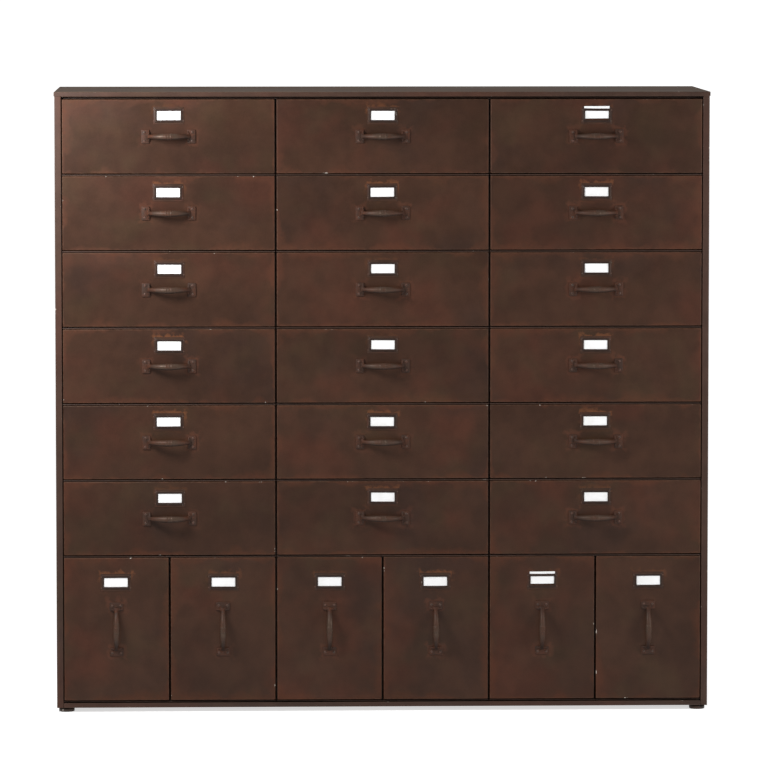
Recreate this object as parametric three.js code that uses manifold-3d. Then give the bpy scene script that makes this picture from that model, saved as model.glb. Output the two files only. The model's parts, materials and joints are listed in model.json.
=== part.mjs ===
// A steel chest of drawers: three columns of six wide drawers over a row of six deep ones.
// A folded casing stands on four screw feet and holds one welded rack for each column.
// Every drawer is a folded tray behind a box-edged front with a cast bow pull, and slides on strips.
// Units are millimetres, +Z is up and the drawers open towards -Y.
// The origin is on the floor, under the middle of the whole object, pulls included.

import * as THREE from 'three';
import { mergeVertices } from 'three/addons/utils/BufferGeometryUtils.js';
import Module from 'manifold-3d';

// Casing
const casingWidth = 1500;
const casingDepth = 450;
const casingHeight = 1417; // from the underside of the bottom panel to the top of the cap
const sheet = 1.2; // steel sheet, used everywhere
const fit = 0.3; // gap left between two pieces that touch
const postWidth = 15; // the folded front edge of a side panel
const postReturn = 12; // how far that edge is folded back inside
const railHeight = 14; // from the casing's top or bottom to the first line of the drawer grid
const capLip = 10; // turned-down edge of the top panel
const joistWidth = 30; // channel under each joint between two racks

// Drawer grid
const columns = 3;
const wideRows = 6;
const deepPerColumn = 2;
const deepPitch = 336; // height of the row of deep drawers
const gapAcross = 4.6; // between two neighbouring fronts
const gapUp = 6;

// Drawers
const frontDepth = 18; // folded edge of a drawer front
const frontSeat = 0.5; // between a closed front and its rack
const sideClearance = 3; // between a tray and the rack's wall
const slideClearance = 0.4; // between a tray's underside and its runner strips
const rearClearance = 12; // between a closed tray and the back panel
const hemHeight = 8; // folded top edge of a tray's walls
const headroom = 15; // between the top of a tray and the sheet above it
const heldLength = 105; // from the casing's face to the back of a tray that is fully open

// Rack
const sheetSetback = 3; // from the casing's face to the rack's sheets, which end between the drawer fronts
const hemDepth = 12; // folded front edge of those sheets
const runnerWidth = 14;
const runnerInset = 5; // from the side of the tray to the runner strip
const stopReach = 2.2; // how far the ears of a tray, and the lugs that stop them, stand out
const stopLength = 10;
const stopHeight = 24;
const stopClearance = 0.5;

// Cast pull
const pullLength = 122;
const pullProjection = 34; // from the drawer front to the outside of the grip
const footAlong = 17; // the pull's foot plate, along the pull
const footAcross = 32;
const footThickness = 2.5;
const collarAlong = 4;
const collarAcross = 24;
const collarHeight = 6;
const gripEndRadius = 4;
const gripMiddleRadius = 7;
const gripEndHeight = 3; // the grip's centreline where it enters the collar
const gripStations = 9;
const gripSides = 8;

// Screw foot
const footHeight = 10; // from the floor to the bottom panel
const padRadius = 18;
const padHeight = 7.5;
const padBottomRadius = 16;
const padChamfer = 1.5;
const nutRadius = 8.5;
const studRadius = 4;
const studLength = 12; // inside the casing
const studClearance = 0.6;
const footMargin = 0.9; // between the stud's hole and the bottom panel's turned-up side
const footSides = 20;

// Places that follow from the sizes above
const capOverhang = sheet + fit;
const overallDepth = pullProjection + casingDepth + capOverhang;
const yFront = -overallDepth / 2 + pullProjection; // outer face of the drawer fronts and posts
const yBack = yFront + casingDepth;
const zBase = footHeight;
const zTop = zBase + casingHeight;
const columnPitch = (casingWidth - 2 * postWidth) / columns;
const rowPitch = (casingHeight - 2 * railHeight - deepPitch) / wideRows;
const yBackPanel = yBack - sheet - fit - sheet; // inner face of the back panel
const yRackFront = yFront + frontDepth + frontSeat;
const yRackBack = yBackPanel - fit;
const yTrayBack = yRackBack - rearClearance;
const rackWall = columnPitch / 2 - fit - sheet; // from a rack's middle to the inside of its wall
const runnerHeight = gapUp / 2 - sheet / 2 - slideClearance;
const footInset = postWidth + fit + sheet + footMargin + studClearance + studRadius; // casing's side to stud
const railVisible = railHeight - gapUp / 2; // the rails stop half a gap short of the drawer grid
const levels = [zBase + railHeight]; // the grid's lines from the floor of the rack to its roof
for (let row = 0; row <= wideRows; row++) {
  levels.push(zBase + railHeight + deepPitch + row * rowPitch);
}
const deepColumnPitch = columnPitch / deepPerColumn;

const finishes = {
  casing: new THREE.MeshStandardMaterial({ color: 0x4b3a33, roughness: 0.45, metalness: 0.2 }),
  rack: new THREE.MeshStandardMaterial({ color: 0x3f312b, roughness: 0.6, metalness: 0.2 }),
  drawer: new THREE.MeshStandardMaterial({ color: 0x52392f, roughness: 0.42, metalness: 0.2 }),
  pull: new THREE.MeshStandardMaterial({ color: 0x4a3a30, roughness: 0.5, metalness: 0.6 }),
  foot: new THREE.MeshStandardMaterial({ color: 0x35302d, roughness: 0.6, metalness: 0.5 }),
};

const wasm = await Module();
wasm.setup();

// Turns a closed geometry into a solid, with its shared vertices merged and collapsed faces dropped.
function solidFrom(geometry) {
  const bare = geometry.clone();
  bare.deleteAttribute('normal');
  bare.deleteAttribute('uv');
  const merged = mergeVertices(bare, 1e-4);
  const corners = merged.index.array;
  const faces = [];
  for (let i = 0; i < corners.length; i += 3) {
    const [a, b, c] = corners.slice(i, i + 3);
    if (a !== b && b !== c && a !== c) faces.push(a, b, c);
  }
  const vertProperties = merged.attributes.position.array;
  return new wasm.Manifold(new wasm.Mesh({ numProp: 3, vertProperties, triVerts: new Uint32Array(faces) }));
}

function geometryFrom(solid) {
  const mesh = solid.getMesh();
  return new THREE.BufferGeometry()
    .setAttribute('position', new THREE.BufferAttribute(Float32Array.from(mesh.vertProperties), 3))
    .setIndex(new THREE.BufferAttribute(Uint32Array.from(mesh.triVerts), 1));
}

// A box between two opposite corners, each given as [x, y, z].
function block(low, high) {
  const size = high.map((value, i) => value - low[i]);
  const middle = high.map((value, i) => (value + low[i]) / 2);
  return solidFrom(new THREE.BoxGeometry(...size).translate(...middle));
}

function joined(solids) {
  return solids.reduce((whole, next) => whole.add(next));
}

const chest = new THREE.Group();

function place(name, geometry, material, x = 0, y = 0, z = 0) {
  const mesh = new THREE.Mesh(geometry, material);
  mesh.name = name;
  mesh.position.set(x, y, z);
  chest.add(mesh);
  return mesh;
}

// Side panel: one sheet, its front edge folded into a post and its rear edge turned in for the back panel.
function sidePanelGeometry(side) {
  const outside = side * casingWidth / 2;
  const inside = side * (casingWidth / 2 - postWidth);
  const web = outside - side * sheet;
  const fold = inside + side * sheet;
  const outline = [
    [outside, yFront], [inside, yFront], [inside, yFront + postReturn], [fold, yFront + postReturn],
    [fold, yFront + sheet], [web, yFront + sheet], [web, yBack - sheet], [inside, yBack - sheet],
    [inside, yBack], [outside, yBack],
  ].map(([x, y]) => new THREE.Vector2(x, y));
  const height = zTop - sheet - fit - zBase;
  return new THREE.ExtrudeGeometry(new THREE.Shape(outline), { depth: height, bevelEnabled: false })
    .translate(0, 0, zBase);
}

// Top panel: a shallow upturned pan over the casing, with a front rail that closes the gap above the drawers.
function topPanelGeometry() {
  const halfWidth = casingWidth / 2 + capOverhang;
  const railEnd = casingWidth / 2 - postWidth - fit;
  const skin = block(
    [-halfWidth, yFront - capOverhang, zTop - capLip],
    [halfWidth, yBack + capOverhang, zTop],
  );
  const inside = block(
    [sheet - halfWidth, yFront - fit, zTop - capLip - 1],
    [halfWidth - sheet, yBack + fit, zTop - sheet],
  );
  const rail = block([-railEnd, yFront - fit, zTop - railVisible], [railEnd, yFront + sheet, zTop]);
  return geometryFrom(skin.subtract(inside).add(rail));
}

// Bottom panel: a pan with channels that carry the racks and a hole for each foot's stud.
function bottomPanelGeometry() {
  const halfWidth = casingWidth / 2 - postWidth - fit;
  const rackUnderside = levels[0] - sheet / 2 - fit;
  const yRear = yBackPanel - fit;
  const wingEnd = casingWidth / 2 - sheet - fit; // behind the posts the plate reaches the side panels
  const plate = block([-halfWidth, yFront, zBase], [halfWidth, yRear, zBase + sheet]);
  const wings = block([-wingEnd, yFront + postReturn + fit, zBase], [wingEnd, yRear, zBase + sheet]);
  const front = block([-halfWidth, yFront, zBase], [halfWidth, yFront + sheet, zBase + railVisible]);
  const rear = block([-halfWidth, yRear - sheet, zBase], [halfWidth, yRear, rackUnderside]);
  const sides = [-1, 1].map((side) => {
    const edges = [side * halfWidth, side * (halfWidth - sheet)];
    return block([Math.min(...edges), yRackFront, zBase], [Math.max(...edges), yRear, rackUnderside]);
  });
  const joists = [];
  for (let joint = 1; joint < columns; joint++) {
    const x = (joint - columns / 2) * columnPitch;
    const outer = block([x - joistWidth / 2, yRackFront, zBase], [x + joistWidth / 2, yRear, rackUnderside]);
    const hollow = block(
      [x - joistWidth / 2 + sheet, yRackFront - 1, zBase + sheet],
      [x + joistWidth / 2 - sheet, yRear - sheet, rackUnderside - sheet],
    );
    joists.push(outer.subtract(hollow));
  }
  let pan = joined([plate, wings, front, rear, ...sides, ...joists]);
  for (const [x, y] of footPlaces()) {
    const hole = new THREE.CylinderGeometry(
      studRadius + studClearance, studRadius + studClearance, 4 * sheet, footSides,
    );
    pan = pan.subtract(solidFrom(hole.rotateX(Math.PI / 2).translate(x, y, zBase)));
  }
  return geometryFrom(pan);
}

function backPanelGeometry() {
  const halfWidth = casingWidth / 2 - sheet - fit;
  const low = [-halfWidth, yBackPanel, zBase];
  const high = [halfWidth, yBackPanel + sheet, zTop - sheet - fit];
  return geometryFrom(block(low, high));
}

function footPlaces() {
  const x = casingWidth / 2 - footInset;
  const places = [];
  for (const y of [yFront + footInset, yBack - footInset]) places.push([-x, y], [x, y]);
  return places;
}

// Screw foot: a round pad under a nut, with a stud that goes up through the bottom panel.
function footGeometry() {
  const nutTop = footHeight - fit;
  const profile = [
    [0, 0], [padBottomRadius, 0], [padRadius, padChamfer], [padRadius, padHeight - padChamfer],
    [padBottomRadius, padHeight], [nutRadius, padHeight], [nutRadius, nutTop], [studRadius, nutTop],
    [studRadius, footHeight + studLength], [0, footHeight + studLength],
  ].map(([radius, z]) => new THREE.Vector2(radius, z));
  const turned = new THREE.LatheGeometry(profile, footSides).rotateX(Math.PI / 2);
  return geometryFrom(solidFrom(turned));
}

// Every drawer: where its front's lower middle is, and the size of its place in the grid.
function drawerList() {
  const list = [];
  for (let column = 0; column < columns; column++) {
    const middle = (column - (columns - 1) / 2) * columnPitch;
    for (let row = 0; row < wideRows; row++) {
      const below = levels[wideRows - row];
      const name = `r${row + 1}_c${column + 1}`;
      list.push({ name, deep: false, x: middle, z: below, width: columnPitch, height: rowPitch });
    }
    for (let place = 0; place < deepPerColumn; place++) {
      const x = middle + (place - (deepPerColumn - 1) / 2) * deepColumnPitch;
      const name = `deep_${column * deepPerColumn + place + 1}`;
      list.push({ name, deep: true, x, z: levels[0], width: deepColumnPitch, height: deepPitch });
    }
  }
  return list;
}

function trayWidth(width) {
  return width - 2 * (fit + sheet + sideClearance);
}

function trayTop(height) {
  return height - sheet / 2 - headroom;
}

// Height of the middle of a tray's ears, and of the lugs that stop them, above the drawer's lower grid line.
function stopMiddle(height) {
  return (gapUp / 2 + trayTop(height)) / 2;
}

// Rack: two walls, a sheet on each line of the grid, dividers between deep drawers, runner strips
// and stop lugs. All sheets but the top one come forward into the gaps between the drawer fronts.
function rackGeometry() {
  const low = levels[0] - sheet / 2;
  const high = levels[levels.length - 1] + sheet / 2;
  const pieces = [];
  for (const side of [-1, 1]) {
    const faces = [side * rackWall, side * (rackWall + sheet)];
    pieces.push(block([Math.min(...faces), yRackFront, low], [Math.max(...faces), yRackBack, high]));
  }
  levels.forEach((level, i) => {
    const ySheet = i < levels.length - 1 ? yFront + sheetSetback : yRackFront;
    pieces.push(block([-rackWall, ySheet, level - sheet / 2], [rackWall, yRackBack, level + sheet / 2]));
    if (i > 0) {
      const hemFoot = level - 1.5 * sheet;
      pieces.push(block([-rackWall, ySheet, hemFoot], [rackWall, ySheet + hemDepth, level]));
    }
  });
  for (let divider = 1; divider < deepPerColumn; divider++) {
    const x = (divider - deepPerColumn / 2) * deepColumnPitch;
    pieces.push(block([x - sheet / 2, yRackFront, levels[0]], [x + sheet / 2, yRackBack, levels[1]]));
  }
  const firstColumn = drawerList().slice(0, wideRows + deepPerColumn);
  const middle = firstColumn[0].x;
  for (const drawer of firstColumn) {
    const x = drawer.x - middle;
    const halfTray = trayWidth(drawer.width) / 2;
    const runnerTop = drawer.z + sheet / 2 + runnerHeight;
    const yStop = yFront + heldLength - stopLength - stopClearance;
    const zStop = drawer.z + stopMiddle(drawer.height);
    for (const side of [-1, 1]) {
      const runner = [x + side * (halfTray - runnerInset), x + side * (halfTray - runnerInset - runnerWidth)];
      pieces.push(block(
        [Math.min(...runner), yRackFront, drawer.z],
        [Math.max(...runner), yRackBack, runnerTop],
      ));
      const lug = [x + side * (halfTray + sideClearance - stopReach), x + side * (drawer.width / 2 - fit)];
      pieces.push(block(
        [Math.min(...lug), yStop - stopLength, zStop - stopHeight / 2],
        [Math.max(...lug), yStop, zStop + stopHeight / 2],
      ));
    }
  }
  return geometryFrom(joined(pieces));
}

// Drawer: a tray whose front wall is also the face of a box-edged front, with an ear at the back
// of each side.
// Its origin is at the middle of its place's lower line, at the drawer front's face.
function drawerGeometry({ width, height }) {
  const halfFront = (width - gapAcross) / 2;
  const halfTray = trayWidth(width) / 2;
  const bottom = gapUp / 2;
  const frontTop = height - gapUp / 2;
  const rim = trayTop(height);
  const length = yTrayBack - yFront;
  const front = block([-halfFront, 0, bottom], [halfFront, frontDepth, frontTop]);
  const hollow = block(
    [sheet - halfFront, sheet, bottom + sheet],
    [halfFront - sheet, frontDepth + 1, frontTop - sheet],
  );
  const tray = block([-halfTray, 0, bottom], [halfTray, length, rim]);
  const well = block(
    [sheet - halfTray, sheet, bottom + sheet],
    [halfTray - sheet, length - sheet, rim - hemHeight],
  );
  const mouth = block(
    [2 * sheet - halfTray, sheet, bottom + sheet],
    [halfTray - 2 * sheet, length - 2 * sheet, rim + 1],
  );
  const ears = [-1, 1].map((side) => {
    const edges = [side * (halfTray - sheet), side * (halfTray + stopReach)];
    return block(
      [Math.min(...edges), length - stopLength, stopMiddle(height) - stopHeight / 2],
      [Math.max(...edges), length, stopMiddle(height) + stopHeight / 2],
    );
  });
  const shell = front.subtract(hollow).add(tray.subtract(well).subtract(mouth));
  return geometryFrom(joined([shell, ...ears]));
}

// Pull: a spindle-shaped grip bent to an arc between two foot plates. It lies along X, standing out along -Y.
function pullGeometry() {
  const footMiddle = (pullLength - footAlong) / 2;
  const halfChord = pullLength / 2 - footAlong + collarAlong / 2;
  const rise = pullProjection - fit - gripMiddleRadius - gripEndHeight;
  const bendRadius = (halfChord ** 2 + rise ** 2) / (2 * rise);
  const halfArc = bendRadius * Math.asin(halfChord / bendRadius);
  const profile = [new THREE.Vector2(0, -halfArc)];
  for (let i = 0; i < gripStations; i++) {
    const along = (2 * i) / (gripStations - 1) - 1;
    const swell = Math.cos((along * Math.PI) / 2) ** 2;
    const radius = gripEndRadius + (gripMiddleRadius - gripEndRadius) * swell;
    profile.push(new THREE.Vector2(radius, along * halfArc));
  }
  profile.push(new THREE.Vector2(0, halfArc));
  const grip = new THREE.LatheGeometry(profile, gripSides);
  const points = grip.attributes.position;
  for (let i = 0; i < points.count; i++) {
    const angle = points.getY(i) / bendRadius;
    const reach = bendRadius + points.getZ(i);
    const out = gripEndHeight + rise - bendRadius + reach * Math.cos(angle);
    points.setXYZ(i, reach * Math.sin(angle), -out, -points.getX(i));
  }
  const pieces = [solidFrom(grip)];
  for (const side of [-1, 1]) {
    const footEdges = [side * footMiddle - footAlong / 2, side * footMiddle + footAlong / 2];
    pieces.push(block([footEdges[0], -footThickness, -footAcross / 2], [footEdges[1], 0, footAcross / 2]));
    const collarEdges = [side * (halfChord - collarAlong / 2), side * (halfChord + collarAlong / 2)];
    pieces.push(block(
      [Math.min(...collarEdges), -collarHeight, -collarAcross / 2],
      [Math.max(...collarEdges), 0, collarAcross / 2],
    ));
  }
  const behind = block([-pullLength, 0, -pullLength], [pullLength, pullLength, pullLength]);
  return geometryFrom(joined(pieces).subtract(behind));
}

place('left_side_panel', sidePanelGeometry(-1), finishes.casing);
place('right_side_panel', sidePanelGeometry(1), finishes.casing);
place('top_panel', topPanelGeometry(), finishes.casing);
place('bottom_panel', bottomPanelGeometry(), finishes.casing);
place('back_panel', backPanelGeometry(), finishes.casing);

const foot = footGeometry();
const footNames = ['front_left_foot', 'front_right_foot', 'rear_left_foot', 'rear_right_foot'];
footPlaces().forEach(([x, y], i) => place(footNames[i], foot, finishes.foot, x, y));

const rack = rackGeometry();
['left_rack', 'middle_rack', 'right_rack'].forEach((name, column) => {
  place(name, rack, finishes.rack, (column - (columns - 1) / 2) * columnPitch);
});

const drawers = drawerList();
const shapes = {
  wide: drawerGeometry(drawers.find((drawer) => !drawer.deep)),
  deep: drawerGeometry(drawers.find((drawer) => drawer.deep)),
};
const pull = pullGeometry();
for (const drawer of drawers) {
  const prefix = drawer.deep ? '' : 'wide_';
  const shape = drawer.deep ? shapes.deep : shapes.wide;
  place(`${prefix}${drawer.name}_drawer`, shape, finishes.drawer, drawer.x, yFront, drawer.z);
  const handle = place(
    `${prefix}${drawer.name}_pull`, pull, finishes.pull, drawer.x, yFront - fit, drawer.z + drawer.height / 2,
  );
  if (drawer.deep) handle.rotation.y = Math.PI / 2;
}

export default chest;
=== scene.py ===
import json
import math
import random

import bmesh
import bpy
from mathutils import Matrix, Vector, noise

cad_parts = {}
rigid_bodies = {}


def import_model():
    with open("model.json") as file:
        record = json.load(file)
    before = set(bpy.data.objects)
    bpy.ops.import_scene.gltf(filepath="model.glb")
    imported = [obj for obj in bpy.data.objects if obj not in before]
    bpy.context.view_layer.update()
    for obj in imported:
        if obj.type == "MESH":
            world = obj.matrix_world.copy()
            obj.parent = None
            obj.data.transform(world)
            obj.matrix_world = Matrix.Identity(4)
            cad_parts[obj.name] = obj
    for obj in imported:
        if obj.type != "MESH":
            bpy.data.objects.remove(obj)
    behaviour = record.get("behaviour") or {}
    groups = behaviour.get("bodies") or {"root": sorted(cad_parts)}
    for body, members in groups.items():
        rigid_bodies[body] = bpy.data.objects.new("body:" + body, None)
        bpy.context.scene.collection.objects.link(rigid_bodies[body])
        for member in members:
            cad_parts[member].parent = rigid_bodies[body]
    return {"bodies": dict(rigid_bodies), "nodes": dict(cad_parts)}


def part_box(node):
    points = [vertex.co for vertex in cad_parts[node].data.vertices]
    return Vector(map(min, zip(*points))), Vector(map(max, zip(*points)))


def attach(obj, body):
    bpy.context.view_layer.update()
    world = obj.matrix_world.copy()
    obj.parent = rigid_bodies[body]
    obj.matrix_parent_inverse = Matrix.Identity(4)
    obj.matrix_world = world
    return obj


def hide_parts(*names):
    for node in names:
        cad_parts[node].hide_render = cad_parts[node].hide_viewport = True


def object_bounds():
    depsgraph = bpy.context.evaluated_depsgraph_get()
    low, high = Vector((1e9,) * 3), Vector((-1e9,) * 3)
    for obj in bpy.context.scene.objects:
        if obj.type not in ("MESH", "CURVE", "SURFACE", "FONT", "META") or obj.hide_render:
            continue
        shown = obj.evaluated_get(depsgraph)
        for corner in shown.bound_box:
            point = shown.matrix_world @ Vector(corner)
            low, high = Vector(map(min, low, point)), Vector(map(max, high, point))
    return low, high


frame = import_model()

# A steel cabinet of drawers. Everything is in metres, and every place comes from the frame.
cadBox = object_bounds()
cadNodes = frame["nodes"]
drawerBodies = sorted(name for name in frame["bodies"] if name != "casing")
deepBodies = [name for name in drawerBodies if name.startswith("deep")]
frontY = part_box(f"{drawerBodies[0]}_drawer")[0][1]  # outer face of the drawer fronts
print("frame loaded:", len(drawerBodies), "drawers")


# ---- small helpers for node trees ----

number, colour, vector = "NodeSocketFloat", "NodeSocketColor", "NodeSocketVector"
whole, geometry, paintSocket = "NodeSocketInt", "NodeSocketGeometry", "NodeSocketMaterial"


def feed(tree, socket, value):  # a link from another node's output, or else a constant
    if isinstance(value, bpy.types.NodeSocket):
        tree.links.new(value, socket)
    else:
        socket.default_value = value


def addNode(tree, kind, settings=None, inputs=None):
    node = tree.nodes.new(kind)
    for key, value in (settings or {}).items():
        setattr(node, key, value)
    for key, value in (inputs or {}).items():
        feed(tree, node.inputs[key], value)
    return node


def calc(tree, operation, *values, clamp=False):
    settings = {"operation": operation, "use_clamp": clamp}
    return addNode(tree, "ShaderNodeMath", settings, dict(enumerate(values))).outputs[0]


def times(tree, first, second):
    return calc(tree, "MULTIPLY", first, second)


def plus(tree, first, second, clamp=False):
    return calc(tree, "ADD", first, second, clamp=clamp)


def minus(tree, first, second, clamp=False):
    return calc(tree, "SUBTRACT", first, second, clamp=clamp)


def remap(tree, value, fromMin, fromMax, toMin=0.0, toMax=1.0):
    return addNode(tree, "ShaderNodeMapRange", {"interpolation_type": "SMOOTHSTEP"}, {
        "Value": value, "From Min": fromMin, "From Max": fromMax, "To Min": toMin, "To Max": toMax,
    }).outputs["Result"]


def mixColour(tree, factor, first, second, blend="MIX"):
    settings = {"data_type": "RGBA", "blend_type": blend}
    inputs = {0: factor, 6: first, 7: second}  # the sockets of the node's colour mode
    return addNode(tree, "ShaderNodeMix", settings, inputs).outputs[2]


def noiseField(tree, coordinate, seed, scale, detail, rough=0.55):
    return addNode(tree, "ShaderNodeTexNoise", {"noise_dimensions": "4D"}, {
        "Vector": coordinate, "W": seed, "Scale": scale, "Detail": detail, "Roughness": rough,
    }).outputs["Fac"]


def levelOf(tree, seed, stretch):  # one random level for a whole piece
    return noiseField(tree, (0.0, 0.0, 0.0), times(tree, seed, stretch), 1.0, 0.0)


def axesOf(tree, value):
    return addNode(tree, "ShaderNodeSeparateXYZ", inputs={0: value}).outputs


def combined(tree, **axes):
    return addNode(tree, "ShaderNodeCombineXYZ", inputs=axes).outputs[0]


def newGroup(name, kind, inputs, outputs):  # sockets as label: type
    group = bpy.data.node_groups.new(name, kind)
    for way, sockets in (("INPUT", inputs), ("OUTPUT", outputs)):
        for label, socketType in sockets.items():
            group.interface.new_socket(label, in_out=way, socket_type=socketType)
    given = group.nodes.new("NodeGroupInput").outputs
    return group, given, group.nodes.new("NodeGroupOutput").inputs


def useGroup(tree, group, inputs):
    return addNode(tree, "ShaderNodeGroup", {"node_tree": group}, inputs).outputs


# ---- shader groups ----

grain = {  # scale, detail and roughness of each noise
    "wiped": (22.0, 4.0, 0.6), "speckle": (420.0, 3.0, 0.7), "peel": (700.0, 2.0, 0.5),
    "waves": (9.0, 1.0, 0.4), "ragged": (60.0, 4.0, 0.6), "broad": (11.0, 3.0, 0.6),
    "fine": (140.0, 4.0, 0.65), "spots": (55.0, 3.0, 0.7), "dust": (7.0, 4.0, 0.6),
}
mottles = {  # each tint's shift of seed, share of the patch scale, detail, start and full
    "Red": (0.0, 1.0, 2.5, 0.46, 0.66),
    "Olive": (31.0, 1.4, 2.5, 0.5, 0.7),
    "Dark": (57.0, 0.8, 4.0, 0.52, 0.72),
}
relief = {"peel": 0.00002, "waves": 0.0012}
apart = {"tone": 1.37, "halo": 2.3, "chips": 11.0, "dust": 3.0}  # keeps the noises' seeds apart


def buildEnamelGroup():  # old satin paint: cloudy patches of red, olive and dark over a brown base
    group, given, result = newGroup("mottledEnamel", "ShaderNodeTree", {
        "Coordinate": vector, "Seed": number, "Base": colour, "Red": colour, "Olive": colour,
        "Dark": colour, "Patch Scale": number, "Patchiness": number, "Roughness": number,
    }, {"Color": colour, "Roughness": number, "Height": number})
    where, seed = given["Coordinate"], given["Seed"]
    painted, fields = given["Base"], {}
    for tint, (shift, share, detail, start, full) in mottles.items():
        scale = times(group, given["Patch Scale"], share)
        fields[tint] = noiseField(group, where, plus(group, seed, shift), scale, detail)
        mask = times(group, remap(group, fields[tint], start, full), given["Patchiness"])
        painted = mixColour(group, mask, painted, given[tint])
    second = plus(group, seed, mottles["Olive"][0])
    wiped = noiseField(group, where, second, *grain["wiped"])
    speckle = noiseField(group, where, seed, *grain["speckle"])
    shade = plus(group, remap(group, wiped, 0.3, 0.7, 0.86, 1.14),
                 remap(group, speckle, 0.3, 0.7, -0.07, 0.07))
    tone = levelOf(group, seed, apart["tone"])
    shade = times(group, shade, remap(group, tone, 0.3, 0.7, 0.88, 1.1))
    shade = combined(group, X=shade, Y=shade, Z=shade)
    group.links.new(mixColour(group, 1.0, painted, shade, "MULTIPLY"), result["Color"])
    rough = plus(group, given["Roughness"], remap(group, fields["Red"], 0.3, 0.7, -0.05, 0.09))
    rough = plus(group, rough, remap(group, speckle, 0.3, 0.7, -0.04, 0.04), clamp=True)
    group.links.new(rough, result["Roughness"])
    peel = noiseField(group, where, seed, *grain["peel"])
    waves = noiseField(group, where, second, *grain["waves"])
    height = plus(group, times(group, peel, relief["peel"]), times(group, waves, relief["waves"]))
    group.links.new(height, result["Height"])
    return group


def buildHaloGroup():  # stain round a rectangle on a panel's own map, ragged and stronger above it
    group, given, result = newGroup("stainRound", "ShaderNodeTree", {
        "Map": vector, "Seed": number, "Centre": vector, "Half Width": number,
        "Half Height": number, "Spread": number, "Lift": number,
    }, {"Mask": number})
    offset = addNode(group, "ShaderNodeVectorMath", {"operation": "SUBTRACT"}, {
        0: given["Map"], 1: given["Centre"]}).outputs[0]
    axes = axesOf(group, offset)
    acrossOut = minus(group, calc(group, "ABSOLUTE", axes["X"]), given["Half Width"])
    upOut = minus(group, calc(group, "ABSOLUTE", axes["Y"]), given["Half Height"])
    away = calc(group, "MAXIMUM", calc(group, "MAXIMUM", acrossOut, upOut), 0.0)
    ragged = noiseField(group, given["Map"], given["Seed"], *grain["ragged"])
    reach = times(group, given["Spread"], remap(group, ragged, 0.35, 0.7, 0.15, 1.4))
    near = minus(group, 1.0, calc(group, "DIVIDE", away, reach), clamp=True)
    share = levelOf(group, given["Seed"], apart["halo"])
    near = times(group, near, remap(group, share, 0.35, 0.65, 0.3, 1.0))
    above = remap(group, axes["Y"], -0.01, 0.02, minus(group, 1.0, given["Lift"]), 1.0)
    group.links.new(times(group, near, above), result["Mask"])
    return group


def buildWearGroup():  # rubbed and chipped folds, with rust that creeps in from a panel's edges
    group, given, result = newGroup("edgeWear", "ShaderNodeTree", {
        "Map": vector, "Coordinate": vector, "Seed": number, "Fold": number,
        "Half Width": number, "Half Height": number, "Creep": number, "Rubbed": number,
        "Chips": number,
    }, {"Rust": number, "Rubbed": number, "Chip": number})
    axes = axesOf(group, given["Map"])
    inAcross = minus(group, given["Half Width"], calc(group, "ABSOLUTE", axes["X"]))
    inUp = minus(group, given["Half Height"], calc(group, "ABSOLUTE", axes["Y"]))
    inside = calc(group, "MAXIMUM", calc(group, "MINIMUM", inAcross, inUp), 0.0)
    where, seed = given["Coordinate"], given["Seed"]
    broad = noiseField(group, where, seed, *grain["broad"])
    fine = noiseField(group, where, seed, *grain["fine"])
    reach = times(group, given["Creep"], remap(group, broad, 0.42, 0.7, 0.05, 1.6))
    near = minus(group, 1.0, calc(group, "DIVIDE", inside, reach), clamp=True)
    rust = times(group, near, remap(group, fine, 0.3, 0.65, 0.35, 1.0))
    group.links.new(rust, result["Rust"])
    rim = remap(group, inside, 0.0, 0.0016, 1.0, 0.0)
    onFold = calc(group, "MAXIMUM", given["Fold"], rim)
    rubbed = times(group, onFold, remap(group, fine, 0.38, 0.62))
    group.links.new(times(group, rubbed, given["Rubbed"]), result["Rubbed"])
    spots = noiseField(group, where, plus(group, seed, apart["chips"]), *grain["spots"])
    chip = times(group, onFold, remap(group, spots, 0.665, 0.69))
    group.links.new(times(group, chip, given["Chips"]), result["Chip"])
    return group


def buildDustGroup():  # pale dust that lies on what faces up
    group, given, result = newGroup("settledDust", "ShaderNodeTree", {
        "Coordinate": vector, "Normal Up": number, "Amount": number,
    }, {"Mask": number})
    clouds = noiseField(group, given["Coordinate"], apart["dust"], *grain["dust"])
    flat = remap(group, given["Normal Up"], 0.5, 0.95)
    lies = times(group, flat, remap(group, clouds, 0.3, 0.7, 0.4, 1.0))
    group.links.new(times(group, lies, given["Amount"]), result["Mask"])
    return group


enamelGroup = buildEnamelGroup()
haloGroup = buildHaloGroup()
wearGroup = buildWearGroup()
dustGroup = buildDustGroup()
print("shader groups built")


# ---- materials ----

enamel = {  # linear colours
    "base": (0.0355, 0.0158, 0.0091, 1), "red": (0.047, 0.0158, 0.0087, 1),
    "olive": (0.0360, 0.0190, 0.0100, 1), "dark": (0.027, 0.0137, 0.0094, 1),
    "rust": (0.085, 0.025, 0.010, 1), "bare": (0.075, 0.045, 0.030, 1),
    "chip": (0.45, 0.40, 0.35, 1), "dust": (0.13, 0.085, 0.05, 1),
    # painted shade: the dark colour laid on a label holder's raised ring round its window, standing
    # in for the shadow round the card
    "ringShadeColour": (0.016, 0.0085, 0.0065, 1),
}
added = {"rustRoughness": 0.25, "dustRoughness": 0.4}
unmapped = {  # for a paint with no panel map: too far from any rim for creeping rust
    "Map": (1.0, 1.0, 0.0), "Half Width": 2.0, "Half Height": 2.0, "Creep": 0.001,
}


def newMaterial(name):
    material = bpy.data.materials.new(name)
    material.use_nodes = True
    tree = material.node_tree
    return material, tree, tree.nodes["Principled BSDF"]


def ownAttribute(tree, name):
    return addNode(tree, "ShaderNodeAttribute", {"attribute_name": name}).outputs["Fac"]


def placeAndSeed(tree):
    place = tree.nodes.new("ShaderNodeTexCoord").outputs["Object"]
    return place, ownAttribute(tree, "seed")


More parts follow.
